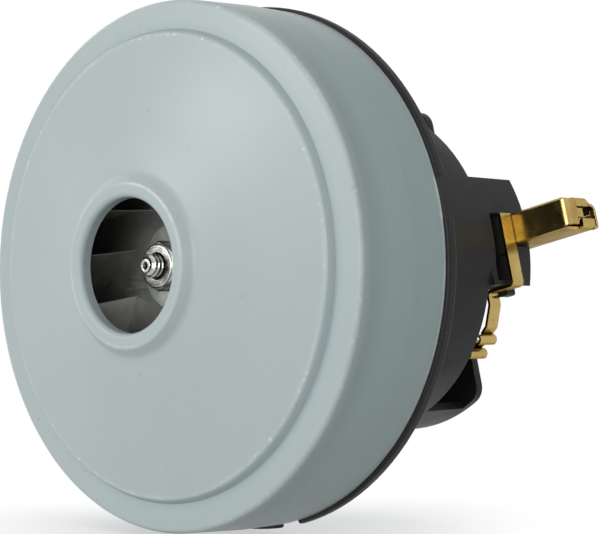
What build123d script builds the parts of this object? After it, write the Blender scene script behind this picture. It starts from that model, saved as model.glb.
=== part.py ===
from build123d import *
import math
import os

# Vacuum motor unit: a radial fan in a drawn steel cover, carried and driven by a universal motor.
# The shaft lies along Y, the air inlet faces -Y, +Z is up and lengths are in millimetres.
# The origin is on the shaft line, in the plane of the fan cover's open rim.
# The motor is drawn with its brushes along X and is then turned about the shaft by brush_tilt.

# Driving dimensions
cover_radius = 69.0
cover_depth = 30.0
inlet_radius = 17.1
frame_radius = 46.9
stator_length = 28.0
armature_radius = 22.4
commutator_radius = 12.5
shaft_radius = 4.0
brush_tilt = 13.2

# Clearances and the overrun of every cut
seat_gap = 0.3
sliding_gap = 0.3
shaft_fit = 0.03
touch_gap = 0.1
overrun = 2.0

# Fan cover, deep drawn from one sheet
cover_sheet = 1.0
cover_straight = 12.0
cover_draft = 0.9
cover_corner = 4.0
front_ring_width = 8.4
step_width = 2.0
step_rise = 2.3
step_foot_fillet = 1.5
step_top_fillet = 2.0
dome_rise = 8.0
dome_blend = 120.0
dome_knee_shares = (0.52, 0.60)
lip_width = 4.4
lip_foot = 0.8
lip_rise = 2.5
lip_foot_fillet = 1.2
lip_roll = 2.15
lip_return = 3.8

# Fan wheel
fan_rim_room = 8.5
fan_rim_width = 5.6
fan_sheet = 0.8
fan_running_gap = 2.4
shroud_bend = 80.0
shroud_neck_bend = 3.0
shroud_neck_width = 1.2
shroud_neck_length = 1.7
shroud_knee_shares = (0.41, 0.52)
eye_step = 4.3
blade_count = 10
blade_lead = 1.9
blade_rim_land = 1.0
blade_sweep = 50.0
blade_middle_share = 0.45
blade_middle_sweep = 30.0
blade_first_angle = 131.5
lead_bevel = 0.5

# Stack on the threaded end of the shaft
washer_radius = 11.4
front_washer_thickness = 1.8
hub_washer_radius = 9.0
hub_washer_thickness = 1.7
rear_washer_thickness = 1.8
nut_across_flats = 11.6
nut_height = 6.0
nut_chamfer = 0.7
thread_radius = 3.0
thread_reach = 4.4
centre_drill_radius = 1.1
centre_drill_depth = 2.0
shaft_tip_edge = 0.4
shaft_end_edge = 0.5
spacer_radius = 6.5

# Bearings
bearing_radius = 11.0
bearing_width = 7.0
inner_ring_radius = 6.2
outer_ring_wall = 2.0
bearing_shield = 0.6
bearing_edge = 0.5
front_bearing_start = 4.0

# Diffuser with its guide vanes
fan_rear_gap = 2.2
diffuser_disc = 1.8
diffuser_rim = 0.7
diffuser_bore = 13.0
diffuser_hub_wall = 3.0
diffuser_hub_length = 6.0
vane_count = 15
vane_thickness = 1.6
vane_spigot_gap = 0.6
vane_inner_radius = 37.0
vane_middle_share = 0.52
vane_sweep = -42.0
vane_middle_sweep = -17.0
vane_lead = 4.0
vane_side_gap = 1.2

# Front bracket, which carries the front bearing and the stator
bracket_ring = 3.8
bracket_depth = 6.0
bracket_hub_wall = 3.0
bracket_hub_stop = 2.5
bracket_hub_bore = 8.0
bracket_hub_lip = 0.5
bracket_spoke = 8.0
bracket_ear_reach = 8.0
bracket_ear_half_angle = 7.0
bracket_ear = 1.5
post_radius = 3.6
post_inset = 4.0

# Moulded motor frame
flange_lip = 0.9
flange_thickness = 3.2
flange_edge = 0.8
flange_fillet = 4.0
frame_wall = 2.4
spigot_wall = 1.5
spigot_length = 4.0
notch_depth = 3.0
notch_angles = ((0.7, 9.2), (-90.0, 7.0), (86.0, 22.0), (-115.0, 22.0))
gusset_count = 8
gusset_reach_share = 0.65
gusset_height = 18.0
gusset_thickness = 2.2
skirt_past_stator = 3.0
arm_past_brush = 0.5
arm_half_width = 15.3
bar_half_width = 21.7
bar_corner = 5.0
bar_thickness = 2.6
bell_shoulder = 15.9
bell_rise = 11.2
bell_top_land = 2.8
bell_fillet = 3.0
bearing_step = 1.9
hub_wall = 3.2
hub_end_wall = 1.5
hub_end_bore = 5.5
hub_edge = 1.0
pocket_inset = 3.0
pocket_floor = 1.2
pocket_depth = 4.5
pocket_wall = 2.0
pocket_rear_reach = 4.0
catch_reach = 3.4
catch_drop = 2.0
catch_width = 3.6
catch_edge = 0.8
socket_wall = 1.8
socket_lead = 1.0
socket_rear_inset = 8.9

# Angle at which the frame's turned walls start, away from every arm and rib
seam_angle = 34.0

# Stator and its field coils
stator_start = 16.0
stator_side_cut = 3.4
stator_end_cut = 2.4
pole_gap = 0.6
pole_tip = 3.0
slot_depth_share = 0.577
slot_half_angle = 50.0
slot_mouth_half_angle = 22.0
screw_radius = 2.0
screw_clearance = 0.2
screw_head_radius = 3.5
screw_head_height = 2.6
screw_reach = 7.0
coil_gap = 0.6
coil_half_angle = 63.0
coil_overhang = 7.0
coil_edge_share = 0.215

# Armature
armature_slots = 12
slot_width = 3.0
slot_depth = 9.5
slot_foot_gap = 1.6
winding_inset = 1.9
winding_front = 5.5
winding_rear = 9.5
winding_front_neck = 2.2
winding_neck_radius = 13.0
winding_hub_gap = 3.0
winding_edge = 2.5
winding_fill = 0.4

# Commutator
commutator_gap = 1.0
riser_length = 2.5
riser_step = 2.3
bar_length = 16.0
bar_count = 24
bar_depth = 4.0
bar_groove = 0.5
bar_groove_depth = 0.8
commutator_tail = 1.0

# Brush gear
tube_width = 14.0
tube_height = 8.8
tube_sheet = 0.8
tube_corner = 1.6
tube_stand_off = 4.5
tube_end = 65.8
tube_flap_gap = 2.6
tube_flap_land = 6.0
brush_offset = 0.5
brush_side_gap = 0.3
brush_length = 28.0
brush_run_gap = 0.3
spring_wire = 0.3
spring_radius = 2.3
spring_turns = 6
spring_samples = 24

# Terminal strap with its push-on receptacle
strap_sheet = 0.8
strap_width = 4.8
strap_bend = 1.6
strap_leg = 8.9
strap_drop = 3.2
strap_jog = (2.6, 5.8)
strap_foot = (2.1, 1.6)
receptacle_length = 7.3
receptacle_inset = 0.5
receptacle_half_width = 3.3
curl_radius = 1.5
curl_sheet = 0.7
curl_slot = 0.9


def across(y):
    """Plane square to the shaft at y, drawn in X and Z."""
    return Plane(origin=(0, y, 0), x_dir=(1, 0, 0), z_dir=(0, -1, 0))


def prism(face, start, end):
    """Solid that carries a face, drawn in X and Z, from y = start to y = end."""
    return extrude(across(start) * face, amount=end - start, dir=(0, 1, 0))


def turned(points, radii=None):
    """Solid of revolution about the shaft from a closed outline of radius and y."""
    radii = radii or [0] * len(points)
    outline = FilletPolyline(*points, radius=radii, close=True)
    return revolve(make_face(outline), axis=Axis.Y)


def parallel(points, distance):
    """The same open line, moved by a distance to the right of its run, with sharp corners."""
    normals = []
    for (ax, ay), (bx, by) in zip(points, points[1:]):
        length = math.hypot(bx - ax, by - ay)
        normals.append(((by - ay) / length, (ax - bx) / length))
    moved = []
    for i, (x, y) in enumerate(points):
        one = normals[max(i - 1, 0)]
        two = normals[min(i, len(normals) - 1)]
        reach = distance / (1 + one[0] * two[0] + one[1] * two[1])
        moved.append((x + (one[0] + two[0]) * reach, y + (one[1] + two[1]) * reach))
    return moved


def bent(points, radii, move=0.0):
    """Open line with its corners rounded, moved to the right of its run by a distance."""
    turns = []
    for a, b, c in zip(points, points[1:], points[2:]):
        turns.append((b[0] - a[0]) * (c[1] - b[1]) - (b[1] - a[1]) * (c[0] - b[0]))
    rounded = [r + math.copysign(move, turn) for r, turn in zip(radii, turns)]
    if not rounded:
        return Line(*parallel(points, move))
    return FilletPolyline(*parallel(points, move), radius=rounded)


def sheet_face(points, radii, thickness):
    """Section of a bent sheet: an open line, its parallel and the two ends."""
    outside = bent(points, radii)
    inside = bent(points, radii, thickness)
    first = Line(outside @ 0, inside @ 0)
    last = Line(outside @ 1, inside @ 1)
    return make_face([*outside.edges(), *inside.edges(), first, last])


def polar(radius, angle):
    return (radius * math.cos(math.radians(angle)), radius * math.sin(math.radians(angle)))


def sector(inner, outer, middle, half_angle):
    """Part of a ring, drawn in X and Z, to both sides of a middle angle."""
    low, high = middle - half_angle, middle + half_angle
    outside = ThreePointArc(polar(outer, low), polar(outer, middle), polar(outer, high))
    inside = ThreePointArc(polar(inner, low), polar(inner, middle), polar(inner, high))
    first = Line(polar(inner, low), polar(outer, low))
    last = Line(polar(inner, high), polar(outer, high))
    return make_face([outside, last, inside, first])


def slab(x0, x1, y0, y1, z0, z1):
    """Block between two corners."""
    return Pos((x0 + x1) / 2, (y0 + y1) / 2, (z0 + z1) / 2) * Box(x1 - x0, y1 - y0, z1 - z0)


# Places along the shaft that several pieces share
shroud_rim = fan_running_gap - cover_depth
fan_back_front = shroud_rim + fan_rim_width
front_washer_start = fan_back_front - front_washer_thickness - hub_washer_thickness
hub_washer_start = fan_back_front - hub_washer_thickness
nut_start = front_washer_start - nut_height
rear_washer_start = fan_back_front + fan_sheet
spacer_start = rear_washer_start + rear_washer_thickness
dome_start = -cover_depth - step_rise
lip_foot_place = dome_start - dome_rise
lip_crest = lip_foot_place - lip_rise
lip_end = lip_crest + lip_return
diffuser_disc_start = fan_back_front + fan_sheet + fan_rear_gap
diffuser_disc_rear = diffuser_disc_start + diffuser_disc
vane_front = fan_back_front - vane_lead
flange_rear = seat_gap + flange_thickness
bracket_end = seat_gap + bracket_depth
front_bearing_end = front_bearing_start + bearing_width
stator_end = stator_start + stator_length
skirt_end = stator_end + skirt_past_stator
pocket_start = skirt_end + pocket_inset
commutator_start = stator_end + winding_rear + commutator_gap
commutator_bars_start = commutator_start + riser_length
commutator_end = commutator_bars_start + bar_length
brush_centre = commutator_bars_start + bar_length / 2 + brush_offset
brush_front = brush_centre - tube_width / 2
brush_rear = brush_centre + tube_width / 2
arm_end = brush_centre + arm_past_brush
bell_start = arm_end - bar_thickness
bell_top = bell_start + bell_rise
rear_bearing_start = bell_top + bearing_step
rear_bearing_end = rear_bearing_start + bearing_width
hub_end = rear_bearing_end + seat_gap + hub_end_wall

# Radii that several pieces share
flange_radius = cover_radius + flange_lip
spigot_radius = cover_radius - cover_sheet - seat_gap
fan_radius = cover_radius - fan_rim_room
eye_radius = inlet_radius + eye_step
blade_inlet_radius = eye_radius - blade_lead
vane_outer_radius = spigot_radius - spigot_wall - vane_spigot_gap
bearing_seat = bearing_radius + shaft_fit
stator_radius = frame_radius - frame_wall - seat_gap
post_circle = stator_radius - post_inset
pole_radius = armature_radius + pole_gap
slot_inner_radius = pole_radius + pole_tip
slot_outer_radius = slot_inner_radius + (stator_radius - slot_inner_radius) * slot_depth_share
winding_radius = armature_radius - winding_inset
riser_radius = commutator_radius + riser_step
tube_start = commutator_radius + tube_stand_off
socket_start = tube_start - socket_lead


# Fan cover

def fan_cover():
    dome_foot = cover_radius - cover_draft - front_ring_width - step_width
    lip_outer = inlet_radius + lip_width
    lip_start = lip_outer + lip_foot
    knee_radius = dome_foot + (lip_start - dome_foot) * dome_knee_shares[0]
    knee_place = dome_start - dome_rise * dome_knee_shares[1]
    points = [
        (cover_radius, 0),
        (cover_radius, -cover_straight),
        (cover_radius - cover_draft, -cover_depth),
        (dome_foot + step_width, -cover_depth),
        (dome_foot, dome_start),
        (knee_radius, knee_place),
        (lip_start, lip_foot_place),
        (lip_outer, lip_crest),
        (inlet_radius, lip_crest),
        (inlet_radius, lip_end),
    ]
    radii = [
        cover_straight,
        cover_corner,
        step_foot_fillet,
        step_top_fillet,
        dome_blend,
        lip_foot_fillet,
        lip_roll,
        lip_roll,
    ]
    return revolve(sheet_face(points, radii, cover_sheet), axis=Axis.Y)


# Fan wheel

def shroud_points():
    neck_foot = eye_radius + shroud_neck_width
    neck_end = lip_foot_place + cover_sheet + touch_gap + fan_running_gap / 2
    neck_place = neck_end + shroud_neck_length
    knee_radius = neck_foot + (fan_radius - neck_foot) * shroud_knee_shares[0]
    knee_place = neck_place + (shroud_rim - neck_place) * shroud_knee_shares[1]
    return [
        (fan_radius, shroud_rim),
        (knee_radius, knee_place),
        (neck_foot, neck_place),
        (eye_radius, neck_end),
    ]


def fan_front_plate():
    radii = [shroud_bend, shroud_neck_bend]
    return revolve(sheet_face(shroud_points(), radii, fan_sheet), axis=Axis.Y)


def fan_back_plate():
    disc = Circle(fan_radius) - Circle(thread_radius + shaft_fit)
    return prism(disc, fan_back_front, fan_back_front + fan_sheet)


def blade_room():
    """What lies between the two plates of the wheel, from the blades' inlet to their rim."""
    outer = fan_radius - blade_rim_land
    ceiling = bent(shroud_points(), [shroud_bend, shroud_neck_bend], fan_sheet + touch_gap)
    front = shroud_points()[-1][1] + lead_bevel
    floor = fan_back_front - touch_gap / 2
    eye = blade_inlet_radius - overrun
    rim = ceiling @ 0
    neck = ceiling @ 1
    wall = [
        Line(neck, (eye, front)),
        Line((eye, front), (eye, floor)),
        Line((eye, floor), (rim.X, floor)),
        Line((rim.X, floor), rim),
    ]
    room = revolve(make_face([*ceiling.edges(), *wall]), axis=Axis.Y)
    ring_face = Circle(outer) - Circle(blade_inlet_radius)
    return room & prism(ring_face, front - overrun, floor)


def fan_blade(number, room):
    start = blade_first_angle + number * 360 / blade_count
    middle_radius = blade_inlet_radius + (fan_radius - blade_inlet_radius) * blade_middle_share
    camber = ThreePointArc(
        polar(blade_inlet_radius - overrun, start - blade_sweep * overrun / fan_radius),
        polar(middle_radius, start + blade_middle_sweep),
        polar(fan_radius, start + blade_sweep),
    )
    front = shroud_points()[-1][1] - overrun
    return prism(trace(camber, line_width=fan_sheet), front, fan_back_front) & room


# Stack on the threaded end

def washer(radius, start, thickness):
    return prism(Circle(radius) - Circle(thread_radius + shaft_fit), start, start + thickness)


def fan_nut():
    corner = nut_across_flats / 2 / math.cos(math.pi / 6)
    hexagon = RegularPolygon(corner, 6) - Circle(thread_radius + shaft_fit)
    blank = prism(hexagon, nut_start, front_washer_start)
    cone = turned([
        (0, nut_start),
        (nut_across_flats / 2, nut_start),
        (corner, nut_start + nut_chamfer),
        (corner, front_washer_start),
        (0, front_washer_start),
    ])
    return blank & cone


def shaft():
    tip = nut_start - thread_reach
    rod = turned([
        (0, tip),
        (thread_radius, tip),
        (thread_radius, spacer_start),
        (shaft_radius, spacer_start),
        (shaft_radius, rear_bearing_end),
        (0, rear_bearing_end),
    ], [0, shaft_tip_edge, 0, 0, shaft_end_edge, 0])
    drill = turned([
        (0, tip - overrun),
        (centre_drill_radius, tip - overrun),
        (centre_drill_radius, tip),
        (0, tip + centre_drill_depth),
    ])
    return rod - drill


def spacer_sleeve():
    return prism(Circle(spacer_radius) - Circle(shaft_radius + shaft_fit), spacer_start, front_bearing_start)


# Ball bearings, each with its balls closed in behind two shields

def bearing_outer(start):
    end = start + bearing_width
    bore = bearing_radius - outer_ring_wall
    shield_bore = inner_ring_radius + sliding_gap
    return turned([
        (shield_bore, start),
        (bearing_radius, start),
        (bearing_radius, end),
        (shield_bore, end),
        (shield_bore, end - bearing_shield),
        (bore, end - bearing_shield),
        (bore, start + bearing_shield),
        (shield_bore, start + bearing_shield),
    ], [0, bearing_edge, bearing_edge, 0, 0, 0, 0, 0])


def bearing_inner(start):
    return prism(Circle(inner_ring_radius) - Circle(shaft_radius + shaft_fit), start, start + bearing_width)


# Diffuser

def diffuser_vane(number):
    start = number * 360 / vane_count
    middle_radius = vane_inner_radius + (vane_outer_radius - vane_inner_radius) * vane_middle_share
    line = ThreePointArc(
        polar(vane_outer_radius + overrun, start),
        polar(middle_radius, start + vane_middle_sweep),
        polar(vane_inner_radius - overrun, start + vane_sweep),
    )
    strip = prism(trace(line, line_width=vane_thickness), vane_front, seat_gap)
    inner_room = prism(Circle(vane_outer_radius) - Circle(vane_inner_radius), diffuser_disc_rear, seat_gap)
    outer_room = prism(Circle(vane_outer_radius) - Circle(fan_radius + vane_side_gap), vane_front, seat_gap)
    return strip & (inner_room + outer_room)


def diffuser():
    disc = Circle(fan_radius + diffuser_rim) - Circle(diffuser_bore)
    body = prism(disc, diffuser_disc_start, diffuser_disc_rear)
    hub = Circle(diffuser_bore + diffuser_hub_wall) - Circle(diffuser_bore)
    body += prism(hub, diffuser_disc_rear, diffuser_disc_rear + diffuser_hub_length)
    for number in range(vane_count):
        body += diffuser_vane(number)
    return body


# Front bracket

def bracket_ear_room(gap):
    """Sector that an ear of the bracket takes up in the flange, larger by a gap all round."""
    outer = stator_radius + bracket_ear_reach + gap
    half_angle = bracket_ear_half_angle + math.degrees(gap / stator_radius)
    face = sector(stator_radius - bracket_ring / 2, outer, 0, half_angle)
    return prism(face, seat_gap, seat_gap + bracket_ear + gap)


def front_bracket():
    hub_radius = bearing_seat + bracket_hub_wall
    stop = front_bearing_start - bracket_hub_stop
    body = Rot(0, seam_angle, 0) * turned([
        (bracket_hub_bore, stop),
        (hub_radius, stop),
        (hub_radius, front_bearing_end + bracket_hub_lip),
        (bearing_seat, front_bearing_end + bracket_hub_lip),
        (bearing_seat, front_bearing_start),
        (bracket_hub_bore, front_bearing_start),
    ])
    ring = prism(Circle(stator_radius) - Circle(stator_radius - bracket_ring), seat_gap, bracket_end)
    body += Rot(0, seam_angle, 0) * ring
    inner = hub_radius - bracket_hub_wall / 2
    outer = stator_radius - bracket_ring / 2
    spoke = slab(inner, outer, seat_gap, bracket_end, -bracket_spoke / 2, bracket_spoke / 2)
    post = prism(Pos(post_circle, 0) * Circle(post_radius), bracket_end - touch_gap, stator_start)
    hole = Pos(post_circle, 0) * Circle(screw_radius + shaft_fit)
    drill = prism(hole, seat_gap + overrun, stator_start + overrun)
    for number in range(4):
        arm = spoke + post + bracket_ear_room(0) - drill
        body += Rot(0, 45 + number * 90, 0) * arm
    return body


# Moulded motor frame

def skirt_and_flange():
    bore = frame_radius - frame_wall
    body = turned([
        (bore, seat_gap),
        (flange_radius, seat_gap),
        (flange_radius, flange_rear),
        (frame_radius, flange_rear),
        (frame_radius, skirt_end),
        (bore, skirt_end),
    ], [0, flange_edge, flange_edge, flange_fillet, 0, 0])
    spigot = Circle(spigot_radius) - Circle(spigot_radius - spigot_wall)
    body += prism(spigot, seat_gap - spigot_length, seat_gap)
    for middle, width in notch_angles:
        gap = sector(flange_radius - notch_depth, flange_radius + overrun, middle + seam_angle, width / 2)
        body -= prism(gap, seat_gap, flange_rear + overrun)
    return body


def gusset():
    foot = frame_radius + (flange_radius - frame_radius) * gusset_reach_share
    inside = frame_radius - frame_wall / 2
    rib = make_face(Polyline(
        (inside, flange_rear - touch_gap),
        (foot, flange_rear - touch_gap),
        (frame_radius, flange_rear + gusset_height),
        (inside, flange_rear + gusset_height),
        close=True,
    ))
    return Pos(0, 0, -gusset_thickness / 2) * extrude(rib, amount=gusset_thickness)


def rear_arm(brush_side):
    half_angle = math.degrees(math.asin(arm_half_width / frame_radius))
    arm = prism(sector(frame_radius - frame_wall, frame_radius, 0, half_angle), skirt_end, arm_end)
    if not brush_side:
        return arm
    back = frame_radius - frame_wall - pocket_depth
    arm += slab(
        back - pocket_wall,
        frame_radius - frame_wall / 2,
        pocket_start - pocket_wall,
        arm_end - pocket_rear_reach,
        -arm_half_width,
        tube_height / 2 + socket_wall,
    )
    pocket = slab(
        back,
        frame_radius + overrun,
        pocket_start,
        brush_front - touch_gap,
        pocket_floor - arm_half_width,
        tube_height / 2 + touch_gap,
    )
    catch = slab(
        back - catch_reach / 2,
        back + catch_reach / 2,
        brush_front + touch_gap,
        brush_front + touch_gap + catch_width,
        -arm_half_width - catch_drop,
        -arm_half_width + touch_gap,
    )
    catch = fillet(catch.edges().filter_by(Axis.Y).group_by(Axis.Z)[0], catch_edge)
    return arm + catch - pocket - tube_room(touch_gap)


def rear_bell():
    points = [
        (frame_radius, bell_start),
        (frame_radius - bell_shoulder, bell_start),
        (bearing_seat + hub_wall + bell_top_land, bell_top),
        (bearing_seat, bell_top),
    ]
    shell = revolve(sheet_face(points, [bell_fillet, bell_fillet], bar_thickness), axis=Axis.Y)
    outline = Rectangle(bar_half_width * 2, frame_radius * 2) & Circle(frame_radius)
    outline = fillet(outline.vertices(), bar_corner)
    return shell & prism(outline, bell_start - overrun, hub_end)


def rear_hub():
    return turned([
        (bearing_seat, bell_top),
        (bearing_seat + hub_wall, bell_top),
        (bearing_seat + hub_wall, hub_end),
        (hub_end_bore, hub_end),
        (hub_end_bore, hub_end - hub_end_wall),
        (bearing_seat, hub_end - hub_end_wall),
    ], [0, 0, hub_edge, 0, 0, 0])


def tube_room(grow):
    """Block that the brush tube fits in, larger by a given amount all round."""
    return slab(
        socket_start - overrun,
        flange_radius,
        brush_front - grow,
        brush_rear + grow,
        -tube_height / 2 - grow,
        tube_height / 2 + grow,
    )


def brush_socket():
    block = tube_room(touch_gap + socket_wall)
    keep = prism(Circle(frame_radius - frame_wall / 2) - Circle(socket_start), 0, arm_end)
    keep += prism(Circle(frame_radius - socket_rear_inset) - Circle(socket_start), arm_end, hub_end)
    return block & keep


def motor_frame():
    body = Rot(0, seam_angle, 0) * skirt_and_flange()
    for number in range(gusset_count):
        body += Rot(0, (number + 0.5) * 360 / gusset_count, 0) * gusset()
    for number in range(4):
        body -= Rot(0, 45 + number * 90, 0) * bracket_ear_room(seat_gap)
    bell = rear_bell() + Rot(0, seam_angle, 0) * rear_hub()
    for angle in (0, 180):
        side = Rot(0, angle, 0)
        body += side * rear_arm(True)
        body += side * Rot(0, 90, 0) * rear_arm(False)
        bell -= side * tube_room(touch_gap)
    body += bell
    for angle in (0, 180):
        body += Rot(0, angle, 0) * (brush_socket() - tube_room(touch_gap))
    return body


# Stator

def stator_core():
    width = (stator_radius - stator_side_cut) * 2
    height = (stator_radius - stator_end_cut) * 2
    outline = Circle(stator_radius) & Rectangle(width, height)
    void = Circle(pole_radius)
    for middle in (0, 180):
        void += sector(slot_inner_radius, slot_outer_radius, middle, slot_half_angle)
        mouth = sector(pole_radius - pole_gap, slot_inner_radius + pole_gap, middle, slot_mouth_half_angle)
        void += mouth
    for number in range(4):
        place = polar(post_circle, 45 + number * 90)
        void += Pos(*place) * Circle(screw_radius + screw_clearance)
    return prism(outline - void, stator_start, stator_end)


def field_coil(middle):
    inner = slot_inner_radius + coil_gap
    outer = slot_outer_radius - coil_gap
    ring = sector(inner, outer, middle, coil_half_angle)
    coil = prism(ring, stator_start - coil_overhang, stator_end + coil_overhang)
    neck_half_angle = 90 - slot_half_angle + math.degrees(coil_gap / inner)
    neck = sector(inner - overrun, outer + overrun, middle, neck_half_angle)
    outer_edges = coil.edges().filter_by(GeomType.CIRCLE).sort_by(lambda e: -e.radius)[0:2]
    coil = fillet(outer_edges, (outer - inner) * coil_edge_share)
    return coil - prism(neck, stator_start - touch_gap, stator_end + touch_gap)


def stator_screw(angle):
    head_end = stator_end + screw_head_height
    place = Pos(*polar(post_circle, angle))
    screw = prism(place * Circle(screw_radius), screw_reach, stator_end)
    return screw + prism(place * Circle(screw_head_radius), stator_end, head_end)


# Rotor

def armature_core():
    disc = Circle(armature_radius) - Circle(shaft_radius + shaft_fit)
    middle = armature_radius - slot_depth / 2 + touch_gap
    for number in range(armature_slots):
        cut = Pos(middle, 0) * Rectangle(slot_depth, slot_width)
        disc -= Rot(0, 0, number * 360 / armature_slots) * cut
    return prism(disc, stator_start, stator_end)


def armature_winding():
    bore = shaft_radius + shaft_fit
    eye = bearing_seat + bracket_hub_wall + winding_hub_gap
    front = stator_start - winding_front
    rear = stator_end + winding_rear
    heads = turned([
        (eye, front),
        (winding_radius, front),
        (winding_radius, stator_start),
        (bore, stator_start),
        (bore, stator_start - winding_front_neck),
        (winding_neck_radius, stator_start - winding_front_neck),
    ], [0, winding_edge, 0, 0, 0, 0])
    heads += turned([
        (bore, stator_end),
        (winding_radius, stator_end),
        (winding_radius, stator_end + winding_rear / 2),
        (riser_radius - winding_fill, rear),
        (bore, rear),
    ], [0, 0, winding_edge, 0, 0])
    bar = Rectangle(slot_depth - slot_foot_gap, slot_width - winding_fill * 2)
    middle = armature_radius - slot_depth / 2 + touch_gap - winding_fill
    for number in range(armature_slots):
        place = Rot(0, 0, number * 360 / armature_slots) * Pos(middle, 0)
        heads += prism(place * bar, stator_start - touch_gap, stator_end + touch_gap)
    return heads


def commutator_hub():
    outer = commutator_radius - bar_depth
    disc = Circle(outer) - Circle(shaft_radius + shaft_fit)
    return prism(disc, commutator_start, commutator_end + commutator_tail)


def commutator_bars():
    inner = commutator_radius - bar_depth
    bars = prism(Circle(commutator_radius) - Circle(inner), commutator_bars_start, commutator_end)
    bars += prism(Circle(riser_radius) - Circle(inner), commutator_start, commutator_bars_start)
    depth = commutator_radius - bar_groove_depth
    groove = slab(depth, riser_radius + overrun, 0, hub_end, -bar_groove / 2, bar_groove / 2)
    for number in range(bar_count):
        bars -= Rot(0, number * 360 / bar_count, 0) * groove
    return bars


# Brush gear

def brush_tube():
    outline = Pos(brush_centre, 0) * RectangleRounded(tube_width, tube_height, tube_corner)
    inside = Pos(brush_centre, 0) * Rectangle(tube_width - tube_sheet * 2, tube_height - tube_sheet * 2)
    side = Plane(origin=(0, 0, 0), x_dir=(0, 1, 0), z_dir=(1, 0, 0))
    tube = extrude(side * (outline - inside), amount=tube_end)
    tube -= slab(0, tube_start, 0, hub_end, -tube_height, tube_height)
    end = extrude(side.offset(tube_end - tube_sheet) * outline, amount=tube_sheet)
    opening = slab(
        tube_end - tube_sheet - overrun,
        tube_end + overrun,
        brush_front + tube_flap_land,
        brush_rear + overrun,
        -tube_flap_gap / 2,
        tube_flap_gap / 2,
    )
    return tube + end - opening


def carbon_brush():
    start = commutator_radius + brush_run_gap
    width = tube_width - tube_sheet * 2 - brush_side_gap * 2
    height = tube_height - tube_sheet * 2 - brush_side_gap * 2
    block = slab(
        shaft_radius,
        start + brush_length,
        brush_centre - width / 2,
        brush_centre + width / 2,
        -height / 2,
        height / 2,
    )
    return block - prism(Circle(start), 0, hub_end)


def biarc(start, start_way, end, end_way):
    """Two tangent arcs from a point to another, each leaving or arriving the given way."""
    gap = end - start
    both = start_way + end_way
    square = both.dot(both) - 4
    along = gap.dot(both)
    reach = (along - math.sqrt(along * along - square * gap.dot(gap))) / square
    middle = (start + start_way * reach + end - end_way * reach) / 2
    first = Edge.make_tangent_arc(start, start_way, middle)
    return [first, Edge.make_tangent_arc(middle, first % 1, end)]


def spring_point(share):
    """Place and way of the spring's wire after a share of its turns."""
    start = commutator_radius + brush_run_gap + brush_length + spring_wire + touch_gap
    length = tube_end - tube_sheet - spring_wire - touch_gap - start
    angle = share * spring_turns * 2 * math.pi
    side = (spring_radius * math.cos(angle), spring_radius * math.sin(angle))
    place = Vector(start + length * share, brush_centre + side[0], side[1])
    rise = length / (spring_turns * 2 * math.pi)
    way = Vector(rise, -side[1], side[0]).normalized()
    return place, way


def brush_spring():
    edges = []
    steps = spring_turns * 2
    for step in range(steps):
        start, start_way = spring_point(step / steps)
        end, end_way = spring_point((step + 1) / steps)
        edges += biarc(start, start_way, end, end_way)
    path = Wire(edges)
    section = Plane(origin=path @ 0, z_dir=path % 0) * Circle(spring_wire)
    return sweep(section, path=path)


def spring_gap():
    """Least distance between the wire's surface on one turn and on the next, on points."""
    count = spring_turns * spring_samples
    places = [spring_point(i / count)[0] for i in range(count + 1)]
    least = min(
        (a - b).length
        for i, a in enumerate(places)
        for b in places[i + spring_samples * 2 // 3:]
    )
    return least - spring_wire * 2


def terminal_strap():
    outer = frame_radius + touch_gap + strap_sheet
    low = -arm_half_width - touch_gap - strap_sheet
    inner = outer - strap_leg
    jog = (inner - strap_jog[0], low - strap_drop - strap_jog[1])
    foot = (jog[0] - strap_foot[0], jog[1] - strap_foot[1])
    points = [
        (outer, tube_height / 2),
        (outer, low),
        (inner, low),
        (inner, low - strap_drop),
        jog,
        foot,
    ]
    radii = [strap_bend, strap_sheet, strap_bend, strap_bend]
    rear = brush_front - touch_gap
    strip = prism(sheet_face(points, radii, strap_sheet), rear - strap_width, rear)
    run = Vector(foot[0] - jog[0], foot[1] - jog[1]).normalized()
    out = Vector(-run.Y, run.X)
    base_end = Vector(*foot) + run * receptacle_half_width * 2
    base = sheet_face([foot, (base_end.X, base_end.Y)], [], strap_sheet)
    start = rear - receptacle_inset - receptacle_length
    strip += prism(base, start, start + receptacle_length)
    for reach in (curl_radius - strap_sheet, receptacle_half_width * 2 - curl_radius + strap_sheet):
        centre = Vector(*foot) + run * reach + out * (curl_radius - strap_sheet / 2)
        curl = Circle(curl_radius) - Circle(curl_radius - curl_sheet)
        curl -= Pos(0, -curl_radius / 2) * Rectangle(curl_slot, curl_radius)
        tilt = math.degrees(math.atan2(run.Y, run.X))
        strip += prism(Pos(centre.X, centre.Y) * Rot(0, 0, tilt) * curl, start, start + receptacle_length)
    return strip


# Every piece, in the place it has on the motor
turn = Rot(0, -brush_tilt, 0)
room = blade_room()
pieces = {
    "fan_cover": fan_cover(),
    "fan_front_plate": fan_front_plate(),
    "fan_back_plate": fan_back_plate(),
    "fan_nut": fan_nut(),
    "front_washer": washer(washer_radius, front_washer_start, front_washer_thickness),
    "hub_washer": washer(hub_washer_radius, hub_washer_start, hub_washer_thickness),
    "rear_washer": washer(washer_radius, rear_washer_start, rear_washer_thickness),
    "shaft": shaft(),
    "spacer_sleeve": spacer_sleeve(),
    "front_bearing_outer": bearing_outer(front_bearing_start),
    "front_bearing_inner": bearing_inner(front_bearing_start),
    "rear_bearing_outer": bearing_outer(rear_bearing_start),
    "rear_bearing_inner": bearing_inner(rear_bearing_start),
    "diffuser": diffuser(),
    "front_bracket": turn * front_bracket(),
    "motor_frame": turn * motor_frame(),
    "stator_core": turn * stator_core(),
    "armature_core": turn * armature_core(),
    "armature_winding": turn * armature_winding(),
    "commutator_hub": commutator_hub(),
    "commutator_bars": commutator_bars(),
}
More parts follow.
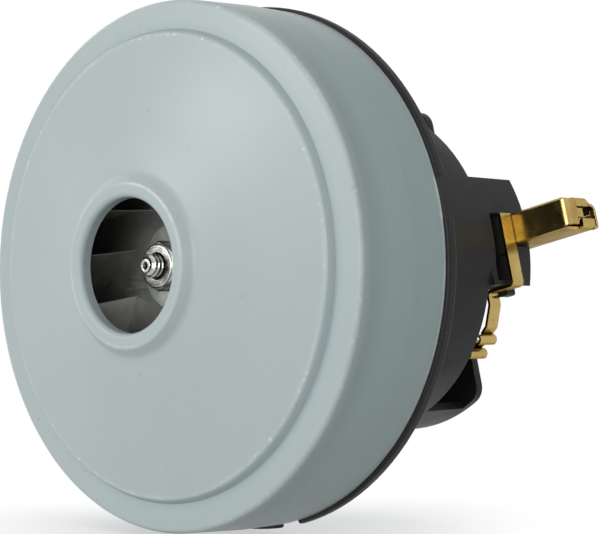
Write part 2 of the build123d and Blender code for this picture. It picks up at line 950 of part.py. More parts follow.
for number in range(blade_count):
    pieces[f"fan_blade_{number + 1:02d}"] = fan_blade(number, room)
for side, angle in (("a", 0), ("b", 180)):
    place = turn * Rot(0, angle, 0)
    pieces[f"brush_tube_{side}"] = place * brush_tube()
    pieces[f"carbon_brush_{side}"] = place * carbon_brush()
    pieces[f"brush_spring_{side}"] = place * brush_spring()
    pieces[f"terminal_strap_{side}"] = place * terminal_strap()
    pieces[f"field_coil_{side}"] = turn * field_coil(90 + angle)
    pieces[f"stator_screw_{side}"] = turn * stator_screw(45 + angle)

os.makedirs("parts", exist_ok=True)
for name, piece in pieces.items():
    export_step(piece, f"parts/{name}.step")
print("least gap between the spring's turns", round(spring_gap(), 2))
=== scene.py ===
import cmath
import math

import bmesh
import bpy
from mathutils import Matrix, Vector


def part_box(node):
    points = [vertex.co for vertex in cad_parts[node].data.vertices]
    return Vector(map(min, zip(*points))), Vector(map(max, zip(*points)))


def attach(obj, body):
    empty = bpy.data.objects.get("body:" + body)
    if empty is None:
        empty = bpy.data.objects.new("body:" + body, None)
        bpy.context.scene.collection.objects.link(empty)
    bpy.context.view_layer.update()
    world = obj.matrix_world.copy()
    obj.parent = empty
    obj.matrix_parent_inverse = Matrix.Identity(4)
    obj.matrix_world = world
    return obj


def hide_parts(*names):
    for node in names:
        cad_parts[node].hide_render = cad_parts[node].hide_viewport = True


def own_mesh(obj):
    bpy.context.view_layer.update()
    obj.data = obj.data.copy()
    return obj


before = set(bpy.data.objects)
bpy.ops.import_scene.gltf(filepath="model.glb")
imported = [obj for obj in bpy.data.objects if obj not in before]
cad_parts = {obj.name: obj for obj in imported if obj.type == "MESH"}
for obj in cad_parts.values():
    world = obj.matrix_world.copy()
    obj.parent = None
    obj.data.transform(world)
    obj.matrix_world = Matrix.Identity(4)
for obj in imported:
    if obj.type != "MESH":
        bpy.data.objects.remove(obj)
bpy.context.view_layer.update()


# Studio: a white floor under the unit's flange, a white backdrop, four soft lamps, and a camera
# in front of the air inlet and to its right, a little below the height of the shaft.

def aimed(thing, place, target):
    """Puts a camera or a lamp in its place, turned towards a target."""
    thing.location = place
    thing.rotation_euler = (Vector(target) - Vector(place)).to_track_quat("-Z", "Y").to_euler()
    bpy.context.scene.collection.objects.link(thing)


camera = bpy.data.objects.new("studio_camera", bpy.data.cameras.new("studio_camera"))
camera.data.sensor_width = 36.0
camera.data.lens = 104.4
camera.data.clip_start = 0.02
camera.data.clip_end = 60.0
camera_place = Vector((0.32992, -0.33142, -0.00839))
camera_view = Vector((-0.68201, 0.73111, 0.01832))
aimed(camera, camera_place, camera_place + camera_view)
bpy.context.scene.camera = camera
bpy.context.scene.view_settings.view_transform = "Standard"


def soft_lamp(name, place, size, watts, colour=(1.0, 1.0, 1.0)):
    """Round lamp turned towards the unit."""
    data = bpy.data.lights.new(name, "AREA")
    data.shape = "DISK"
    data.size = size
    data.energy = watts
    data.color = colour
    lamp = bpy.data.objects.new(name, data)
    aimed(lamp, place, (0.0, 0.0, 0.0))


soft_lamp("front_softbox", (-0.86, -1.25, 0.48), 0.36, 6.5, (1.0, 0.975, 0.93))
soft_lamp("front_panel", (0.58, -1.56, 0.05), 1.2, 23.5)
soft_lamp("right_softbox", (1.45, 0.10, 0.85), 0.7, 0.4, (0.95, 0.98, 1.0))
soft_lamp("left_softbox", (-1.50, 0.35, 0.55), 1.1, 3.2)


def seen_share(tree):
    """1 for what is seen directly, in a mirror or through glass, and 0 for light on the unit."""
    path = tree.nodes.new("ShaderNodeLightPath")
    share = path.outputs["Is Camera Ray"]
    for ray in ("Is Glossy Ray", "Is Transmission Ray"):
        larger = tree.nodes.new("ShaderNodeMath")
        larger.operation = "MAXIMUM"
        tree.links.new(share, larger.inputs[0])
        tree.links.new(path.outputs[ray], larger.inputs[1])
        share = larger.outputs[0]
    return share


def lit_and_seen(tree, lighting, seen, output):
    """Ends a tree with one shader that lights the unit and another that is seen."""
    blend = tree.nodes.new("ShaderNodeMixShader")
    tree.links.new(seen_share(tree), blend.inputs[0])
    tree.links.new(lighting.outputs[0], blend.inputs[1])
    tree.links.new(seen.outputs[0], blend.inputs[2])
    tree.links.new(blend.outputs[0], tree.nodes.new(output).inputs[0])


backdrop = bpy.data.worlds.new("white_backdrop")
bpy.context.scene.world = backdrop
backdrop.use_nodes = True
tree = backdrop.node_tree
tree.nodes.clear()
ambient = tree.nodes.new("ShaderNodeBackground")
ambient.inputs["Color"].default_value = (0.95, 0.98, 1.0, 1.0)
ambient.inputs["Strength"].default_value = 0.29
white = tree.nodes.new("ShaderNodeBackground")
white.inputs["Color"].default_value = (1.0, 1.0, 1.0, 1.0)
white.inputs["Strength"].default_value = 1.0
lit_and_seen(tree, ambient, white, "ShaderNodeOutputWorld")

floor_mesh = bpy.data.meshes.new("studio_floor")
floor_form = bmesh.new()
bmesh.ops.create_grid(floor_form, x_segments=8, y_segments=8, size=20.0)
floor_form.to_mesh(floor_mesh)
floor_form.free()
floor = bpy.data.objects.new("studio_floor", floor_mesh)
floor.location.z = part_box("motor_frame")[0][2] - 0.0003
bpy.context.scene.collection.objects.link(floor)
floor_paint = bpy.data.materials.new("studio_floor_paint")
floor_paint.use_nodes = True
tree = floor_paint.node_tree
tree.nodes.clear()
contact = tree.nodes.new("ShaderNodeAmbientOcclusion")
contact.samples = 12
contact.inputs["Distance"].default_value = 0.05
shadow = tree.nodes.new("ShaderNodeValToRGB")
shadow.color_ramp.elements[0].position = 0.05
shadow.color_ramp.elements[0].color = (0.56, 0.57, 0.58, 1.0)
shadow.color_ramp.elements[1].position = 0.92
shadow.color_ramp.elements[1].color = (1.0, 1.0, 1.0, 1.0)
tree.links.new(contact.outputs["AO"], shadow.inputs["Fac"])
bright = tree.nodes.new("ShaderNodeEmission")
tree.links.new(shadow.outputs["Color"], bright.inputs["Color"])
matt = tree.nodes.new("ShaderNodeBsdfDiffuse")
matt.inputs["Color"].default_value = (0.62, 0.62, 0.62, 1.0)
lit_and_seen(tree, matt, bright, "ShaderNodeOutputMaterial")
floor_mesh.materials.append(floor_paint)


# Fan cover: one steel sheet, deep drawn over a punch, with its edge rolled, a step pressed round
# the domed front and a lip rolled inwards at the air inlet. It is sprayed pale blue-grey.

mm = 0.001


def rounded(points, radii, step=math.radians(4)):
    """Line through the points with each inner corner replaced by an arc of its radius."""
    line = [Vector(points[0])]
    for before, corner, after, radius in zip(points, points[1:], points[2:], radii):
        corner = Vector(corner)
        back = (Vector(before) - corner).normalized()
        forth = (Vector(after) - corner).normalized()
        half = back.angle(forth) / 2
        if radius <= 0 or half > math.pi / 2 - 0.002:
            line.append(corner)
            continue
        centre = corner + (back + forth).normalized() * (radius / math.sin(half))
        start = corner + back * (radius / math.tan(half)) - centre
        end = corner + forth * (radius / math.tan(half)) - centre
        turn = start.angle_signed(end)
        count = max(2, int(abs(turn) / step))
        for i in range(count + 1):
            angle = -turn * i / count
            line.append(centre + Matrix.Rotation(angle, 2) @ start)
    line.append(Vector(points[-1]))
    return line


def shifted(line, distance):
    """The same line moved to the right of its run."""
    moved = []
    for i, point in enumerate(line):
        way = (line[min(i + 1, len(line) - 1)] - line[max(i - 1, 0)]).normalized()
        moved.append(point + Vector((way.y, -way.x)) * distance)
    return moved


def even(line, longest):
    """The same line with points added so that no run is longer than a given length."""
    out = [line[0]]
    for a, b in zip(line, line[1:]):
        count = max(1, math.ceil((b - a).length / longest))
        out += [a.lerp(b, (i + 1) / count) for i in range(count)]
    return out


def mesh_object(name, vertices, faces, smooth_angle=40):
    """Piece in the scene, with its edges sharp where they turn by more than an angle in degrees."""
    mesh = bpy.data.meshes.new(name)
    mesh.from_pydata([tuple(v) for v in vertices], [], faces)
    mesh.update()
    form = bmesh.new()
    form.from_mesh(mesh)
    bmesh.ops.remove_doubles(form, verts=form.verts, dist=1e-7)
    bmesh.ops.recalc_face_normals(form, faces=form.faces)
    for edge in form.edges:
        edge.smooth = len(edge.link_faces) == 2 and edge.calc_face_angle(0) <= math.radians(smooth_angle)
    for face in form.faces:
        face.smooth = True
    form.to_mesh(mesh)
    form.free()
    piece = bpy.data.objects.new(name, mesh)
    bpy.context.scene.collection.objects.link(piece)
    return piece


def turned(name, section, segments):
    """Closed section of (radius, y) in millimetres, turned about the shaft line."""
    count = len(section)
    vertices = []
    for k in range(segments):
        angle = 2 * math.pi * k / segments
        for r, y in section:
            vertices.append((r * mm * math.cos(angle), y * mm, r * mm * math.sin(angle)))
    faces = []
    for k in range(segments):
        a, b = k * count, (k + 1) % segments * count
        for i in range(count):
            j = (i + 1) % count
            faces.append((a + i, a + j, b + j, b + i))
    return mesh_object(name, vertices, faces)


def finish(name, colour, roughness, metallic=0.0, specular=0.5):
    """New material; returns it with its node tree and its shader."""
    material = bpy.data.materials.new(name)
    material.use_nodes = True
    shader = material.node_tree.nodes["Principled BSDF"]
    shader.inputs["Base Color"].default_value = (*colour, 1.0)
    shader.inputs["Roughness"].default_value = roughness
    shader.inputs["Metallic"].default_value = metallic
    shader.inputs["Specular IOR Level"].default_value = specular
    return material, material.node_tree, shader


def mottle(tree, scale, detail=4.0, stretch=(1.0, 1.0, 1.0), roughness=0.55):
    """Noise that is fixed to the piece, with its grain in cells per metre; returns its value."""
    place = tree.nodes.new("ShaderNodeTexCoord")
    size = tree.nodes.new("ShaderNodeMapping")
    size.inputs["Scale"].default_value = stretch
    tree.links.new(place.outputs["Object"], size.inputs["Vector"])
    noise = tree.nodes.new("ShaderNodeTexNoise")
    noise.inputs["Scale"].default_value = scale
    noise.inputs["Detail"].default_value = detail
    noise.inputs["Roughness"].default_value = roughness
    tree.links.new(size.outputs["Vector"], noise.inputs["Vector"])
    return noise.outputs["Fac"]


def graded(tree, value, stops):
    """Colour ramp over a value; stops are (position, colour)."""
    ramp = tree.nodes.new("ShaderNodeValToRGB")
    bands = ramp.color_ramp.elements
    while len(bands) < len(stops):
        bands.new(0.5)
    for band, (position, colour) in zip(bands, stops):
        band.position = position
        band.color = (*colour, 1.0)
    tree.links.new(value, ramp.inputs["Fac"])
    return ramp.outputs["Color"]


def between(tree, value, low, high, start=0.3, end=0.7):
    """Number that goes from low to high while a value goes from start to end."""
    span = tree.nodes.new("ShaderNodeMapRange")
    span.inputs["From Min"].default_value = start
    span.inputs["From Max"].default_value = end
    span.inputs["To Min"].default_value = low
    span.inputs["To Max"].default_value = high
    tree.links.new(value, span.inputs["Value"])
    return span.outputs["Result"]


def mixed(tree, share, one, two, mode="MIX"):
    """Colour between two, or one laid on another by a mode; each is a socket or a colour."""
    mix = tree.nodes.new("ShaderNodeMix")
    mix.data_type = "RGBA"
    mix.blend_type = mode
    for socket, given in ((mix.inputs[0], share), (mix.inputs[6], one), (mix.inputs[7], two)):
        if isinstance(given, bpy.types.NodeSocket):
            tree.links.new(given, socket)
        elif isinstance(given, tuple):
            socket.default_value = (*given, 1.0)
        else:
            socket.default_value = given
    return mix.outputs[2]


def worked(tree, operation, one, two):
    """Result of an operation on two values; each is a socket or a number."""
    step = tree.nodes.new("ShaderNodeMath")
    step.operation = operation
    for socket, given in zip(step.inputs, (one, two)):
        if isinstance(given, bpy.types.NodeSocket):
            tree.links.new(given, socket)
        else:
            socket.default_value = given
    return step.outputs[0]


def product(tree, *values):
    """Values multiplied by each other."""
    result = values[0]
    for value in values[1:]:
        result = worked(tree, "MULTIPLY", result, value)
    return result


def off_from(tree, value, middle):
    """Distance of a value from a middle one."""
    return worked(tree, "ABSOLUTE", worked(tree, "SUBTRACT", value, middle), 0.0)


def along_shaft(tree):
    """Place along the shaft, in metres."""
    split = tree.nodes.new("ShaderNodeSeparateXYZ")
    tree.links.new(tree.nodes.new("ShaderNodeTexCoord").outputs["Object"], split.inputs["Vector"])
    return split.outputs["Y"]


def off_shaft(tree):
    """Distance from the shaft line, in metres."""
    flat = tree.nodes.new("ShaderNodeVectorMath")
    flat.operation = "MULTIPLY"
    flat.inputs[1].default_value = (1.0, 0.0, 1.0)
    tree.links.new(tree.nodes.new("ShaderNodeTexCoord").outputs["Object"], flat.inputs[0])
    reach = tree.nodes.new("ShaderNodeVectorMath")
    reach.operation = "LENGTH"
    tree.links.new(flat.outputs[0], reach.inputs[0])
    return reach.outputs["Value"]


def relief(tree, shader, height, depth, edge=0.0, strength=1.0):
    """Bump of a depth in metres, over edges that are rounded by a radius in metres."""
    bump = tree.nodes.new("ShaderNodeBump")
    bump.inputs["Distance"].default_value = depth
    bump.inputs["Strength"].default_value = strength
    tree.links.new(height, bump.inputs["Height"])
    if edge:
        soft = tree.nodes.new("ShaderNodeBevel")
        soft.samples = 6
        soft.inputs["Radius"].default_value = edge
        tree.links.new(soft.outputs["Normal"], bump.inputs["Normal"])
    tree.links.new(bump.outputs["Normal"], shader.inputs["Normal"])


def hollows(tree, distance, low=0.15, start=0.25, end=0.85):
    """Value that falls from 1 to a low value in narrow places."""
    shade = tree.nodes.new("ShaderNodeAmbientOcclusion")
    shade.samples = 8
    shade.inputs["Distance"].default_value = distance
    return between(tree, shade.outputs["AO"], low, 1.0, start, end)


def darkened(tree, colour, open_share, dark):
    """The colour, multiplied by a dark one where a value falls to 0."""
    return mixed(tree, 1.0, colour, mixed(tree, open_share, dark, (1.0, 1.0, 1.0)), "MULTIPLY")


cover_sheet = 1.0
cover_line = even(rounded(
    [(69.0, 0.0), (69.0, -12.0), (68.1, -30.0), (60.6, -30.32), (59.5, -32.40), (38.48, -36.5),
     (23.3, -40.06), (21.0, -42.5), (17.1, -42.5), (17.1, -39.0)],
    [12.0, 1.5, 0.40, 1.25, 120.0, 3.2, 1.2, 1.5],
), 1.2)
cover_inside = shifted(cover_line, cover_sheet)
cut_edge = [Vector(place) for place in ((68.0, -0.12), (68.05, 0.0), (68.45, 0.0), (68.95, 0.0))]
cover_section = [Vector((69.0, -0.12)), *cover_line[1:], *cover_inside[:0:-1], *cut_edge]
fan_cover = turned("painted_fan_cover", cover_section, 320)
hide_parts("fan_cover")
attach(fan_cover, "stator")

cover_paint, tree, shader = finish("cover_paint", (0.424, 0.492, 0.497), 0.33, specular=0.25)
cloud = mottle(tree, 14.0, 3.0)
blue_grey = graded(tree, cloud, [(0.30, (0.408, 0.477, 0.484)), (0.70, (0.440, 0.506, 0.509))])
dust = mottle(tree, 900.0, 2.0)
blue_grey = mixed(tree, between(tree, dust, 0.0, 0.10, 0.60, 0.72), blue_grey, (0.60, 0.65, 0.62))
dark_speck = between(tree, mottle(tree, 420.0, 1.0), 0.0, 0.22, 0.75, 0.79)
blue_grey = mixed(tree, dark_speck, blue_grey, (0.20, 0.22, 0.21))
reach = off_shaft(tree)
depth = along_shaft(tree)
on_front = between(tree, depth, 1.0, 0.0, -0.0285, -0.0265)
chips = mottle(tree, 560.0, 6.0, roughness=0.75)
knocked = between(tree, mottle(tree, 34.0, 2.0), 0.0, 1.0, 0.42, 0.54)
chipped_rings = ((0.0676, 0.0007, 0.57, 0.75), (0.0589, 0.0006, 0.55, 0.9), (0.0206, 0.0004, 0.42, 0.5))
for ring, width, least, strength in chipped_rings:
    near = between(tree, off_from(tree, reach, ring), strength, 0.0, width * 0.3, width)
    chip = between(tree, chips, 0.0, 1.0, least, least + 0.08)
    blue_grey = mixed(tree, product(tree, near, on_front, knocked, chip), blue_grey, (0.78, 0.79, 0.75))
# Painted highlight, partly wear: pale, mottled lines along the front roll, the step's edge and the inlet
# lip's crest.
for ring, width, strength in ((0.0677, 0.0010, 0.40), (0.0588, 0.0008, 0.35), (0.0206, 0.0006, 0.25)):
    near = between(tree, off_from(tree, reach, ring), 1.0, 0.0, width * 0.2, width)
    worn_and_highlit = between(tree, mottle(tree, 60.0, 3.0), 0.08, strength, 0.40, 0.62)
    blue_grey = mixed(tree, product(tree, near, on_front, worn_and_highlit), blue_grey, (0.56, 0.62, 0.56))
# Painted shade: a dark, mottled band on the side wall just behind the front roll.
behind_roll = product(tree, between(tree, depth, 1.0, 0.0, -0.0250, -0.0200),
                      between(tree, depth, 0.0, 1.0, -0.0282, -0.0262))
painted_roll_shade = product(tree, behind_roll, between(tree, mottle(tree, 30.0, 4.0), 0.10, 0.24))
blue_grey = mixed(tree, painted_roll_shade, blue_grey, (0.19, 0.22, 0.22))
# The side wall's paint is a little greener and lighter than the front's.
on_side = between(tree, depth, 0.0, 1.0, -0.0285, -0.0255)
greener_side = mixed(tree, 1.0, blue_grey, (1.0, 1.08, 1.06), "MULTIPLY")
blue_grey = mixed(tree, on_side, blue_grey, greener_side)
# Painted highlight: a pale, mottled line along the cut edge of the rim.
painted_rim_highlight = product(tree, between(tree, depth, 0.0, 1.0, -0.0011, -0.0006),
                   between(tree, mottle(tree, 160.0, 5.0), 0.55, 1.0, 0.36, 0.58))
blue_grey = mixed(tree, painted_rim_highlight, blue_grey, (0.84, 0.88, 0.82))
# Painted shade: darker in the creases at the foot of the step and round the inlet lip, from an occlusion
# node.
blue_grey = darkened(tree, blue_grey, hollows(tree, 0.0030, 0.0, 0.55, 0.95), (0.60, 0.66, 0.67))
tree.links.new(blue_grey, shader.inputs["Base Color"])
smear = mottle(tree, 38.0, 5.0, (1.0, 2.6, 1.0))
tree.links.new(between(tree, smear, 0.30, 0.37), shader.inputs["Roughness"])
peel = mottle(tree, 620.0, 2.0)
relief(tree, shader, peel, 0.00002, strength=0.22)
shader.inputs["Specular Tint"].default_value = (0.80, 0.82, 0.80, 1.0)
fan_cover.data.materials.append(cover_paint)


# Fan wheel: two pressed aluminium plates with curved blades riveted between them. The metal is
# bare and dull, with fine rolling lines and a film of dust.

def dress(node, material):
    """Gives a carried-over node its material."""
    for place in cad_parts[node].material_slots:
        place.material = material


fan_aluminium, tree, shader = finish("rolled_aluminium", (0.50, 0.50, 0.49), 0.42, metallic=1.0)
cloud = mottle(tree, 45.0, 5.0)
metal = graded(tree, cloud, [(0.30, (0.40, 0.40, 0.385)), (0.70, (0.56, 0.56, 0.54))])
soot = between(tree, mottle(tree, 130.0, 6.0), 0.0, 0.55, 0.48, 0.70)
tree.links.new(mixed(tree, soot, metal, (0.24, 0.23, 0.21)), shader.inputs["Base Color"])
rolling = mottle(tree, 260.0, 3.0, (1.0, 1.0, 14.0))
tree.links.new(between(tree, rolling, 0.36, 0.55), shader.inputs["Roughness"])
relief(tree, shader, rolling, 0.00003, edge=0.0002, strength=0.25)
dress("fan_front_plate", fan_aluminium)
dress("fan_back_plate", fan_aluminium)


# Fan blades: ten strips of thin aluminium sheet, curved backwards and leaned over at their inlet
# edge, with tongues riveted through both plates.

def skin(rows, closed_rows=True):
    """Vertices and faces over rows of points, each row closed into a ring or left open."""
    vertices = [point for row in rows for point in row]
    width = len(rows[0])
    faces = []
    for k in range(len(rows) - 1):
        for i in range(width if closed_rows else width - 1):
            j = (i + 1) % width
            faces.append((k * width + i, k * width + j, (k + 1) * width + j, (k + 1) * width + i))
    return vertices, faces


def joined(name, parts, smooth_angle=40):
    """One piece from several lists of vertices and faces."""
    vertices, faces = [], []
    for more_vertices, more_faces in parts:
        start = len(vertices)
        vertices += more_vertices
        faces += [tuple(start + i for i in face) for face in more_faces]
    return mesh_object(name, vertices, faces, smooth_angle)


def around(radius, y, angle):
    """Place from a radius and a height in millimetres and an angle about the shaft line."""
    return Vector((radius * mm * math.cos(angle), y * mm, radius * mm * math.sin(angle)))


def plate_depth(radius):
    """Height of the front plate's rear face over a radius."""
    for (inner, front), (outer, rear) in zip(plate_line, plate_line[1:]):
        if radius <= outer:
            break
    return front + (rear - front) * (radius - inner) / (outer - inner)


def blade_row(number, station):
    """Places round a blade's edge at one station on its way from the inlet to the rim."""
    half = blade_half * (0.35 if station in (0, blade_stations) else 1.0)
    row = []
    for side, steps in ((1, range(blade_steps + 1)), (-1, range(blade_steps, -1, -1))):
        for step in steps:
            depth = step / blade_steps
            start = first + (last - first) * (0.064 - 0.030 * depth)
            way = cmath.exp(1j * (start + (last - start) * blade_reach * station / blade_stations))
            radius = abs(arc_centre + arc_radius * way)
            y = plate_depth(radius) * (1 - depth) + blade_rear * depth
            lean = -(0.8 + 2.7 * depth) * max(0.0, 1 - (radius - 19.5) / 12)
            turn = cmath.rect(1.0, math.radians(360 / blade_count * number + lean))
            place = (arc_centre + (arc_radius + side * half) * way) * turn
            row.append(Vector((place.real * mm, y * mm, place.imag * mm)))
    return row


blade_count, blade_stations, blade_steps = 10, 30, 12
blade_rear, blade_half, blade_reach = -22.05, 0.27, 0.985
plate_line = [(18.0, -37.45), (20.9, -37.4), (21.3, -36.55), (23.4, -35.1), (31.0, -32.85),
              (37.0, -31.15), (43.0, -29.9), (51.0, -28.4), (60.0, -26.75)]
inlet, belly, rim = (cmath.rect(radius, math.radians(angle))
                     for radius, angle in ((18.5, 130.7), (37.95, 161.5), (60.5, 181.5)))
third = (rim - inlet) / (belly - inlet)
arc_centre = inlet + (belly - inlet) * (third - abs(third) ** 2) / (third - third.conjugate())
arc_radius = abs(inlet - arc_centre)
first, last = cmath.phase(inlet - arc_centre), cmath.phase(rim - arc_centre)
last += 2 * math.pi * round((first - last) / (2 * math.pi))
for number in range(blade_count):
    rows = [blade_row(number, station) for station in range(blade_stations + 1)]
    ends = [[(a + b) / 2 for a, b in zip(row, row[::-1])] for row in (rows[0], rows[-1])]
    blade = joined(f"curved_blade_{number + 1:02d}", [skin([ends[0], *rows, ends[1]])], 35)
    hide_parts(f"fan_blade_{number + 1:02d}")
    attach(blade, "rotor")
    blade.data.materials.append(fan_aluminium)


# Washers that clamp the fan: stamped steel with a thin grey-green zinc plating, dulled by handling
# and marked by the nut.

zinc, tree, shader = finish("zinc_plating", (0.50, 0.52, 0.50), 0.34, metallic=0.85)
cloud = mottle(tree, 160.0, 5.0)
metal = graded(tree, cloud, [(0.30, (0.36, 0.39, 0.36)), (0.72, (0.50, 0.53, 0.50))])
scratch = mottle(tree, 900.0, 2.0, (1.0, 0.1, 0.08))
metal = mixed(tree, between(tree, scratch, 0.0, 0.5, 0.66, 0.72), metal, (0.16, 0.17, 0.16))
tree.links.new(metal, shader.inputs["Base Color"])
tree.links.new(between(tree, mottle(tree, 420.0, 4.0), 0.34, 0.52), shader.inputs["Roughness"])
relief(tree, shader, mottle(tree, 900.0, 3.0), 0.00003, edge=0.00025, strength=0.35)
for name in ("front_washer", "hub_washer", "rear_washer"):
    dress(name, zinc)


# Fan nut: a steel hexagon, formed cold, with its front corners turned off to a cone and its
# thread countersunk. It is screwed on the shaft's end and clamps the fan.

nut_front, nut_rear, nut_half, nut_bore, cone_start = -31.5, -25.5, 5.8, 3.02, 5.25
rows = []
for step in range(361):
    angle = math.radians(step)
    corner = nut_half / math.cos((angle + math.pi / 6) % (math.pi / 3) - math.pi / 6)
    corner -= 0.25 * max(0.0, (corner - 6.5) / 0.2)
    slope = max(0.0, corner - cone_start) * 0.62
    rows.append([
        around(nut_bore, nut_rear, angle),
        around(nut_bore, nut_front + 0.42, angle),
        around(3.52, nut_front + 0.06, angle),
        around(3.62, nut_front, angle),
        around(4.95, nut_front, angle),
        around(cone_start, nut_front + 0.05, angle),
        around(corner - 0.06, nut_front + slope, angle),
        around(corner, nut_front + slope + 0.12, angle),
        around(corner, nut_rear + 0.01, angle),
    ])
nut = joined("fan_nut_hexagon", [skin(rows)], 24)
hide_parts("fan_nut")
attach(nut, "rotor")

nut_steel, tree, shader = finish("formed_steel", (0.40, 0.40, 0.39), 0.26, metallic=1.0)
swirl = tree.nodes.new("ShaderNodeTexNoise")
swirl.noise_dimensions = "1D"
swirl.inputs["Scale"].default_value = 2600.0
swirl.inputs["Detail"].default_value = 3.0
tree.links.new(off_shaft(tree), swirl.inputs["W"])
rub = mottle(tree, 420.0, 6.0)
marked = product(tree, worked(tree, "ADD", swirl.outputs["Fac"], rub), 0.5)
metal = graded(tree, marked, [(0.38, (0.12, 0.12, 0.11)), (0.50, (0.30, 0.30, 0.29)),
                              (0.60, (0.58, 0.58, 0.56))])
# Painted shade: darker in the thread, the countersink and other narrow places, from an occlusion node.
metal = darkened(tree, metal, hollows(tree, 0.0008, 0.0), (0.16, 0.16, 0.15))
tree.links.new(metal, shader.inputs["Base Color"])
tree.links.new(between(tree, mottle(tree, 900.0, 5.0), 0.20, 0.42), shader.inputs["Roughness"])
relief(tree, shader, swirl.outputs["Fac"], 0.00008, edge=0.00012, strength=0.6)
nut.data.materials.append(nut_steel)


# Stator screws: two pan-head screws with a cross recess, headed and rolled from zinc-plated wire,
# that clamp the stator core between the front bracket's posts and their own heads.

screw_sides, dome_steps, head_height, recess_depth = 96, 22, 2.6, 1.3
for name in ("a", "b"):
    low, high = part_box(f"stator_screw_{name}")
    middle = Vector(((low[0] + high[0]) / 2, 0.0, (low[2] + high[2]) / 2))
    tip_end, head_top = low[1] / mm, high[1] / mm
    head_foot = head_top - head_height
    rings = [(0.02, tip_end + 0.02), (1.5, tip_end), (2.0, tip_end + 0.5), (2.0, head_foot),
             (3.4, head_foot), (3.5, head_foot + 0.1), (3.5, head_foot + 1.1),
             (3.35, head_foot + 1.6), (3.0, head_foot + 2.1), (2.5, head_top - 0.2)]
    for step in range(dome_steps + 1):
        share = step / dome_steps
        rings.append((2.3 - 2.25 * share, head_top - 0.12 * (1 - share) ** 2))
    rows = []
    for k in range(screw_sides + 1):
        angle = 2 * math.pi * k / screw_sides
        row = []
        for r, y in rings:
            if r < 2.31 and y > head_foot + 2.2:
                from_arm = r * min(abs(math.sin(angle)), abs(math.cos(angle)))
                flank = min(1.0, max(0.0, (0.52 - from_arm) / 0.16))
                arm_end = min(1.0, max(0.0, (2.0 - r) / 0.4))
                y -= recess_depth * flank * arm_end
            row.append(middle + around(r, y, angle))
        rows.append(row)
    screw = joined(f"cross_head_screw_{name}", [skin(rows, False)], 35)
    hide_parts(f"stator_screw_{name}")
    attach(screw, "stator")
    screw.data.materials.append(zinc)


# Shaft: one ground steel bar, turned down at the fan and threaded there, with a centre hole in
# its end from the lathe.

thread_pitch, thread_depth, tip, sides = 1.25, 0.66, -35.5, 120


def thread_radius(y, angle):
    """Radius of the thread at a height and an angle; it runs out towards the tip."""
    phase = ((y - tip) / thread_pitch - angle / (2 * math.pi)) % 1.0
    flank = min(1.0, max(0.0, abs(2 * phase - 1) * 1.45 - 0.22))
    crest = min(3.0, 1.75 + (y - tip) * 0.85)
    return crest - thread_depth * (1 - flank) * min(1.0, 0.25 + (y - tip) * 0.6)


angles = [2 * math.pi * k / sides for k in range(sides)]
centre_hole = [(0.02, tip + 1.9), (0.75, tip + 0.75), (0.92, tip + 0.28), (1.02, tip + 0.04),
               (1.12, tip), (1.45, tip)]
thread = [tip + 0.07 * step for step in range(1, 72)] + [-30.0, -24.0]
bar = [(2.99, -23.9), (2.99, -19.2), (3.98, -19.18), (3.98, 82.9), (3.5, 83.48), (0.6, 83.5), (0.02, 82.9)]
rows = [[around(r, y, angle) for angle in angles] for r, y in centre_hole]
rows += [[around(thread_radius(y, angle), y, angle) for angle in angles] for y in thread]
rows += [[around(r, y, angle) for angle in angles] for r, y in bar]
shaft = joined("threaded_shaft", [skin(rows)], 50)
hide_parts("shaft")
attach(shaft, "rotor")

ground_steel, tree, shader = finish("ground_steel", (0.46, 0.46, 0.44), 0.20, metallic=1.0)
turning = mottle(tree, 700.0, 3.0, (0.08, 6.0, 0.08))
metal = graded(tree, turning, [(0.32, (0.34, 0.34, 0.32)), (0.66, (0.62, 0.62, 0.60))])
# Painted shade: nearly black in the thread's grooves and the centre hole, from an occlusion node.
metal = darkened(tree, metal, hollows(tree, 0.0014, 0.0, 0.50, 0.95), (0.03, 0.03, 0.028))
tree.links.new(metal, shader.inputs["Base Color"])
tree.links.new(between(tree, mottle(tree, 600.0, 4.0), 0.14, 0.32), shader.inputs["Roughness"])
relief(tree, shader, turning, 0.00002, strength=0.30)
shaft.data.materials.append(ground_steel)
dress("spacer_sleeve", ground_steel)


# Ball bearings: hardened steel rings, ground all over and closed on both sides by pressed
# shields. The shaft runs in the inner rings, and the outer ones sit in bores.

ring_steel, tree, shader = finish("bearing_steel", (0.62, 0.62, 0.61), 0.18, metallic=1.0)
metal = graded(tree, mottle(tree, 500.0, 4.0), [(0.35, (0.48, 0.48, 0.47)), (0.65, (0.70, 0.70, 0.69))])
tree.links.new(metal, shader.inputs["Base Color"])
tree.links.new(between(tree, mottle(tree, 1100.0, 3.0), 0.12, 0.28), shader.inputs["Roughness"])
relief(tree, shader, mottle(tree, 1500.0, 2.0), 0.00002, edge=0.0002, strength=0.3)
for name in ("front_bearing_outer", "front_bearing_inner", "rear_bearing_outer", "rear_bearing_inner"):
    dress(name, ring_steel)


# Motor frame, front bracket and diffuser: black glass-filled nylon with a fine eroded grain from
# the mould, a little paler along its edges: partly rubbed, partly a painted edge highlight.

def sharp_edge(tree, radius, start=0.02, end=0.25):
    """Value that is 1 on sharp edges and 0 elsewhere."""
    soft = tree.nodes.new("ShaderNodeBevel")
    soft.samples = 6
    soft.inputs["Radius"].default_value = radius
    true = tree.nodes.new("ShaderNodeNewGeometry")
    dot = tree.nodes.new("ShaderNodeVectorMath")
    dot.operation = "DOT_PRODUCT"
    tree.links.new(soft.outputs["Normal"], dot.inputs[0])
    tree.links.new(true.outputs["Normal"], dot.inputs[1])
    return between(tree, worked(tree, "SUBTRACT", 1.0, dot.outputs["Value"]), 0.0, 1.0, start, end)


